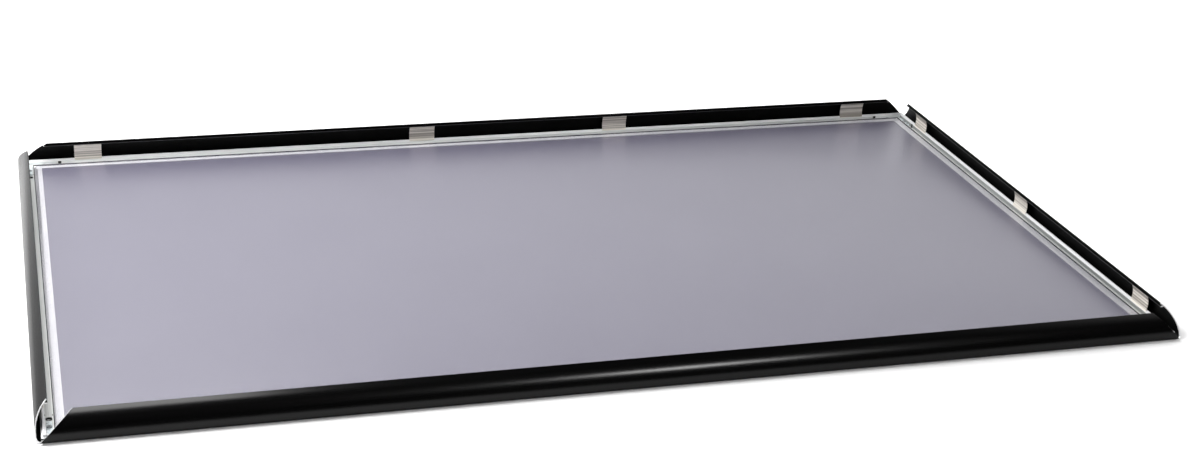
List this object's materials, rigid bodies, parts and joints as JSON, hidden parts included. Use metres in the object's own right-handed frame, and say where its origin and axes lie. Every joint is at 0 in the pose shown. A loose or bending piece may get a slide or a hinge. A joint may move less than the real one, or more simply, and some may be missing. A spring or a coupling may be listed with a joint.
{
  "type": "snap-open poster frame",
  "caption": "Front-loading poster frame of mitred metal rails, with hinged spring-loaded cover rails swung open around a backing panel and a clear sheet.",
  "frame": {"origin": "middle of the back face, on the plane that meets the wall or table", "axes": "+X along the long rails, +Y along the short rails, +Z away from the wall"},
  "size_m": [1.0366, 0.6366, 0.0268],
  "materials": {
    "mill_aluminium": "bare extruded, satin",
    "black_anodised": "black anodised, satin",
    "spring_steel": "brushed",
    "plated_steel": "zinc plated",
    "backing": "smooth matt",
    "clear_sheet": "clear, faintly frosted"
  },
  "bodies": {
    "frame": {"base_rail_front": "mill_aluminium", "base_rail_right": "mill_aluminium", "base_rail_back": "mill_aluminium", "base_rail_left": "mill_aluminium", "corner_bracket_front_left": "plated_steel", "corner_bracket_front_right": "plated_steel", "corner_bracket_back_left": "plated_steel", "corner_bracket_back_right": "plated_steel", "bracket_screws": "plated_steel", "backing_panel": "backing"},
    "front_cover": {"cover_rail_front": "black_anodised", "leaf_spring_front_1": "spring_steel", "leaf_spring_front_2": "spring_steel", "leaf_spring_front_3": "spring_steel", "leaf_spring_front_4": "spring_steel"},
    "right_cover": {"cover_rail_right": "black_anodised", "leaf_spring_right_1": "spring_steel", "leaf_spring_right_2": "spring_steel", "leaf_spring_right_3": "spring_steel"},
    "back_cover": {"cover_rail_back": "black_anodised", "leaf_spring_back_1": "spring_steel", "leaf_spring_back_2": "spring_steel", "leaf_spring_back_3": "spring_steel", "leaf_spring_back_4": "spring_steel"},
    "left_cover": {"cover_rail_left": "black_anodised", "leaf_spring_left_1": "spring_steel", "leaf_spring_left_2": "spring_steel", "leaf_spring_left_3": "spring_steel"},
    "poster_sheet": {"cover_sheet": "clear_sheet"}
  },
  "joints": [
    {"name": "front_cover_hinge", "type": "hinge", "parent": "frame", "child": "front_cover", "pos_m": [0, -0.3126, 0.0024], "axis": [-1, 0, 0], "range_deg": [0, 68.3], "deforming": ["leaf_spring_front_1", "leaf_spring_front_2", "leaf_spring_front_3", "leaf_spring_front_4"]},
    {"name": "right_cover_hinge", "type": "hinge", "parent": "frame", "child": "right_cover", "pos_m": [0.5126, 0, 0.0024], "axis": [0, -1, 0], "range_deg": [0, 68.3], "deforming": ["leaf_spring_right_1", "leaf_spring_right_2", "leaf_spring_right_3"]},
    {"name": "back_cover_hinge", "type": "hinge", "parent": "frame", "child": "back_cover", "pos_m": [0, 0.3126, 0.0024], "axis": [1, 0, 0], "range_deg": [0, 68.3], "deforming": ["leaf_spring_back_1", "leaf_spring_back_2", "leaf_spring_back_3", "leaf_spring_back_4"]},
    {"name": "left_cover_hinge", "type": "hinge", "parent": "frame", "child": "left_cover", "pos_m": [-0.5126, 0, 0.0024], "axis": [0, 1, 0], "range_deg": [0, 68.3], "deforming": ["leaf_spring_left_1", "leaf_spring_left_2", "leaf_spring_left_3"]},
    {"name": "sheet_lift", "type": "slide", "parent": "frame", "child": "poster_sheet", "axis": [0, 0, 1], "range_m": [0, 0.06]}
  ]
}
